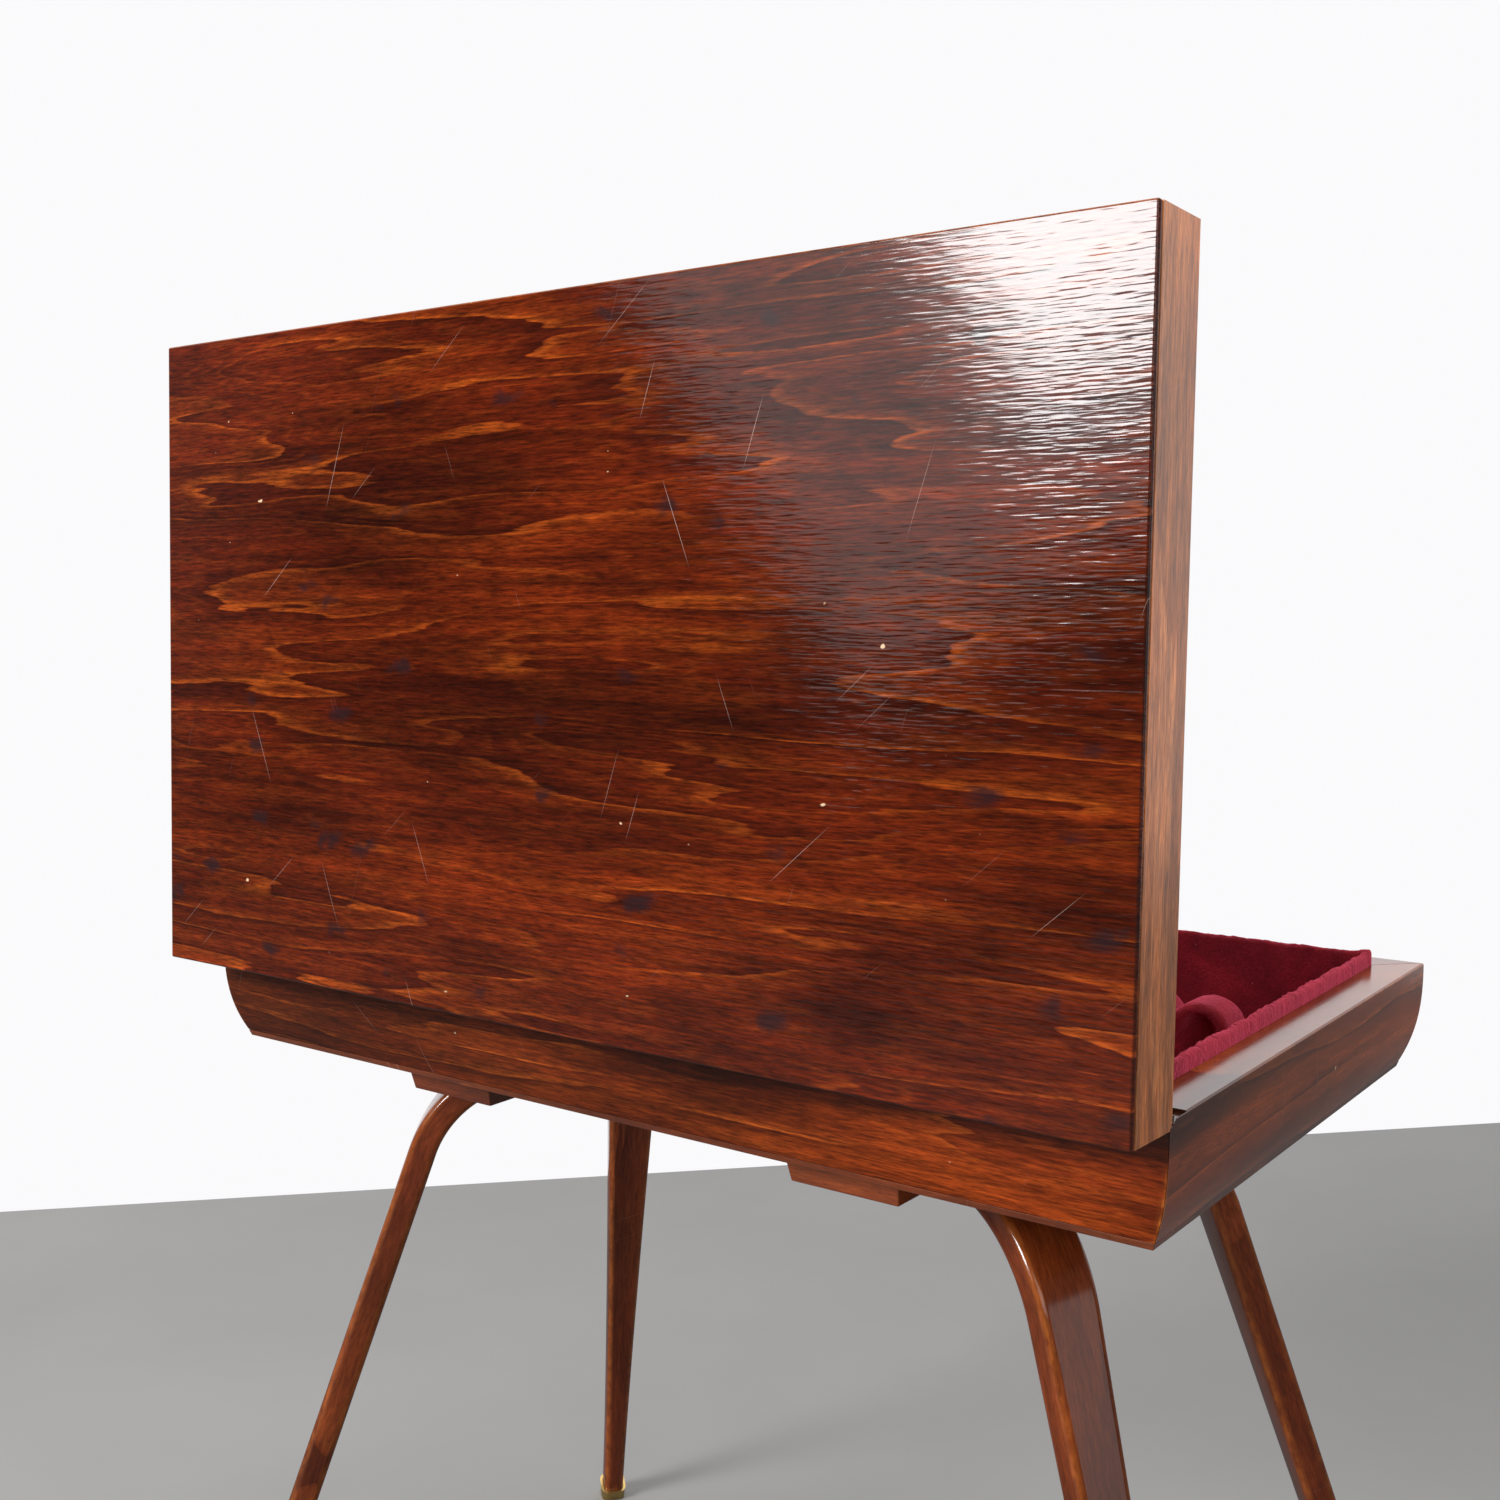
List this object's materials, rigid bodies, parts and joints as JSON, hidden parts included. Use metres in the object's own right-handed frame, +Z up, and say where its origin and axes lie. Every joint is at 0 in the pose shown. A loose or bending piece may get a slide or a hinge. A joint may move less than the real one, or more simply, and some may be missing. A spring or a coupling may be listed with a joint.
{
  "type": "cutlery canteen table",
  "caption": "Small table holding a shallow velvet-lined cutlery case with a piano-hinged lid, on splayed bent wooden legs with metal tips.",
  "frame": {"origin": "centre of the open table's bounding box, on the floor plane under the feet; the case sits a little to +X of it because the back left leg reaches further out", "axes": "+Z up; the front, where a person stands to use the open case, faces -Y; +X is that person's right; the lid is hinged at the +Y side"},
  "size_m": [0.6884, 0.4242, 0.8771],
  "materials": {
    "dark_wood": "gloss lacquer over reddish brown stain",
    "lid_veneer": "gloss lacquer on figured veneer, worn",
    "lid_lipping": "satin lacquer on lighter edge strips",
    "velvet": "short burgundy pile",
    "brass": "dull, slightly tarnished",
    "steel": "dull"
  },
  "bodies": {
    "table": {"batten_left": "dark_wood", "batten_right": "dark_wood", "batten_screw_1": "steel", "batten_screw_2": "steel", "batten_screw_3": "steel", "batten_screw_4": "steel", "batten_screw_5": "steel", "batten_screw_6": "steel", "case_bottom_panel": "dark_wood", "case_rail_back": "dark_wood", "case_rail_front": "dark_wood", "case_rail_left": "dark_wood", "case_rail_right": "dark_wood", "foot_tip_back_left": "brass", "foot_tip_back_right": "brass", "foot_tip_front_left": "brass", "foot_tip_front_right": "brass", "hinge_leaf_case": "brass", "hinge_pin": "steel", "hinge_screw_case_1": "brass", "hinge_screw_case_2": "brass", "hinge_screw_case_3": "brass", "hinge_screw_case_4": "brass", "hinge_screw_case_5": "brass", "leg_back_left": "dark_wood", "leg_back_right": "dark_wood", "leg_front_left": "dark_wood", "leg_front_right": "dark_wood", "leg_screw_back_left_1": "steel", "leg_screw_back_left_2": "steel", "leg_screw_back_right_1": "steel", "leg_screw_back_right_2": "steel", "leg_screw_front_left_1": "steel", "leg_screw_front_left_2": "steel", "leg_screw_front_right_1": "steel", "leg_screw_front_right_2": "steel", "liner_floor": "velvet", "liner_wall_back": "velvet", "liner_wall_front": "velvet", "liner_wall_left": "velvet", "liner_wall_right": "velvet", "rest_bar_front": "velvet", "rest_bar_rear": "velvet"},
    "lid": {"hinge_leaf_lid": "brass", "hinge_screw_lid_1": "brass", "hinge_screw_lid_2": "brass", "hinge_screw_lid_3": "brass", "hinge_screw_lid_4": "brass", "hinge_screw_lid_5": "brass", "lid_lining": "velvet", "lid_rail_back": "lid_lipping", "lid_rail_front": "lid_lipping", "lid_rail_left": "lid_lipping", "lid_rail_right": "lid_lipping", "lid_top_panel": "lid_veneer"}
  },
  "joints": [
    {"name": "lid_hinge", "type": "hinge", "parent": "table", "child": "lid", "pos_m": [0.00993, 0.1705, 0.5228], "axis": [1, 0, 0], "range_deg": [0, 88]}
  ]
}
